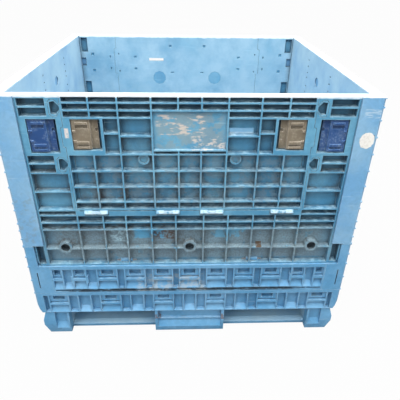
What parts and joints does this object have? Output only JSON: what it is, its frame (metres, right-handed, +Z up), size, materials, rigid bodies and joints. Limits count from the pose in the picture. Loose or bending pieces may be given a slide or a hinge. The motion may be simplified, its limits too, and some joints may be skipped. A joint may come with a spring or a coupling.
{
  "type": "collapsible bulk pallet box",
  "caption": "Collapsible plastic bulk box on a pallet base with ribbed fold-down walls, a hinged drop door in each long wall, sliding latches, and fork entry from every side.",
  "frame": {"origin": "centre of the footprint at the floor, under the box", "axes": "+X along the 1219 mm side to the viewer's right, +Y from the pictured door side to the back, +Z up"},
  "size_m": [1.219, 1.143, 1.003],
  "materials": {
    "sky_blue_plastic": "weathered matte polyethylene foam moulding",
    "pale_blue_plastic": "weathered matte polyethylene foam moulding, faded",
    "grey_blue_plastic": "weathered matte polyethylene foam moulding, dirty",
    "navy_plastic": "satin nylon moulding",
    "taupe_plastic": "satin nylon moulding",
    "steel_rod": "plain cold drawn rod"
  },
  "bodies": {
    "body": {"base": "sky_blue_plastic", "left_riser": "sky_blue_plastic", "right_riser": "sky_blue_plastic", "front_rail": "sky_blue_plastic", "back_rail": "sky_blue_plastic", "left_wall": "pale_blue_plastic", "right_wall": "pale_blue_plastic", "left_wall_pin_1": "steel_rod", "left_wall_pin_2": "steel_rod", "right_wall_pin_1": "steel_rod", "right_wall_pin_2": "steel_rod"},
    "front_wall": {"front_wall": "grey_blue_plastic", "front_wall_pin_1": "steel_rod", "front_wall_pin_2": "steel_rod", "front_door_pin_1": "steel_rod", "front_door_pin_2": "steel_rod", "front_door_pin_3": "steel_rod", "front_door_pin_4": "steel_rod"},
    "front_door": {"front_door": "grey_blue_plastic"},
    "front_wall_latch_left": {"front_wall_latch_left": "navy_plastic"},
    "front_door_latch_left": {"front_door_latch_left": "taupe_plastic"},
    "front_wall_latch_right": {"front_wall_latch_right": "navy_plastic"},
    "front_door_latch_right": {"front_door_latch_right": "taupe_plastic"},
    "back_wall": {"back_wall": "grey_blue_plastic", "back_wall_pin_1": "steel_rod", "back_wall_pin_2": "steel_rod", "back_door_pin_1": "steel_rod", "back_door_pin_2": "steel_rod", "back_door_pin_3": "steel_rod", "back_door_pin_4": "steel_rod"},
    "back_door": {"back_door": "grey_blue_plastic"},
    "back_wall_latch_left": {"back_wall_latch_left": "navy_plastic"},
    "back_door_latch_left": {"back_door_latch_left": "taupe_plastic"},
    "back_wall_latch_right": {"back_wall_latch_right": "navy_plastic"},
    "back_door_latch_right": {"back_door_latch_right": "taupe_plastic"}
  },
  "joints": [
    {"name": "front_wall_fold", "type": "hinge", "parent": "body", "child": "front_wall", "pos_m": [0, -0.5415, 0.359], "axis": [-1, 0, 0], "range_deg": [0, 90]},
    {"name": "front_door_drop", "type": "hinge", "parent": "front_wall", "child": "front_door", "pos_m": [0, -0.564, 0.585], "axis": [-1, 0, 0], "range_deg": [-175, 0]},
    {"name": "front_wall_latch_left_draw", "type": "slide", "parent": "front_wall", "child": "front_wall_latch_left", "axis": [1, 0, 0], "range_m": [0, 0.01]},
    {"name": "front_door_latch_left_draw", "type": "slide", "parent": "front_door", "child": "front_door_latch_left", "axis": [1, 0, 0], "range_m": [0, 0.01]},
    {"name": "front_wall_latch_right_draw", "type": "slide", "parent": "front_wall", "child": "front_wall_latch_right", "axis": [-1, 0, 0], "range_m": [0, 0.01]},
    {"name": "front_door_latch_right_draw", "type": "slide", "parent": "front_door", "child": "front_door_latch_right", "axis": [-1, 0, 0], "range_m": [0, 0.01]},
    {"name": "back_wall_fold", "type": "hinge", "parent": "body", "child": "back_wall", "pos_m": [0, 0.5415, 0.4055], "axis": [1, 0, 0], "range_deg": [0, 90]},
    {"name": "back_door_drop", "type": "hinge", "parent": "back_wall", "child": "back_door", "pos_m": [0, 0.564, 0.585], "axis": [1, 0, 0], "range_deg": [-175, 0]},
    {"name": "back_wall_latch_left_draw", "type": "slide", "parent": "back_wall", "child": "back_wall_latch_left", "axis": [-1, 0, 0], "range_m": [0, 0.01]},
    {"name": "back_door_latch_left_draw", "type": "slide", "parent": "back_door", "child": "back_door_latch_left", "axis": [-1, 0, 0], "range_m": [0, 0.01]},
    {"name": "back_wall_latch_right_draw", "type": "slide", "parent": "back_wall", "child": "back_wall_latch_right", "axis": [1, 0, 0], "range_m": [0, 0.01]},
    {"name": "back_door_latch_right_draw", "type": "slide", "parent": "back_door", "child": "back_door_latch_right", "axis": [1, 0, 0], "range_m": [0, 0.01]}
  ]
}
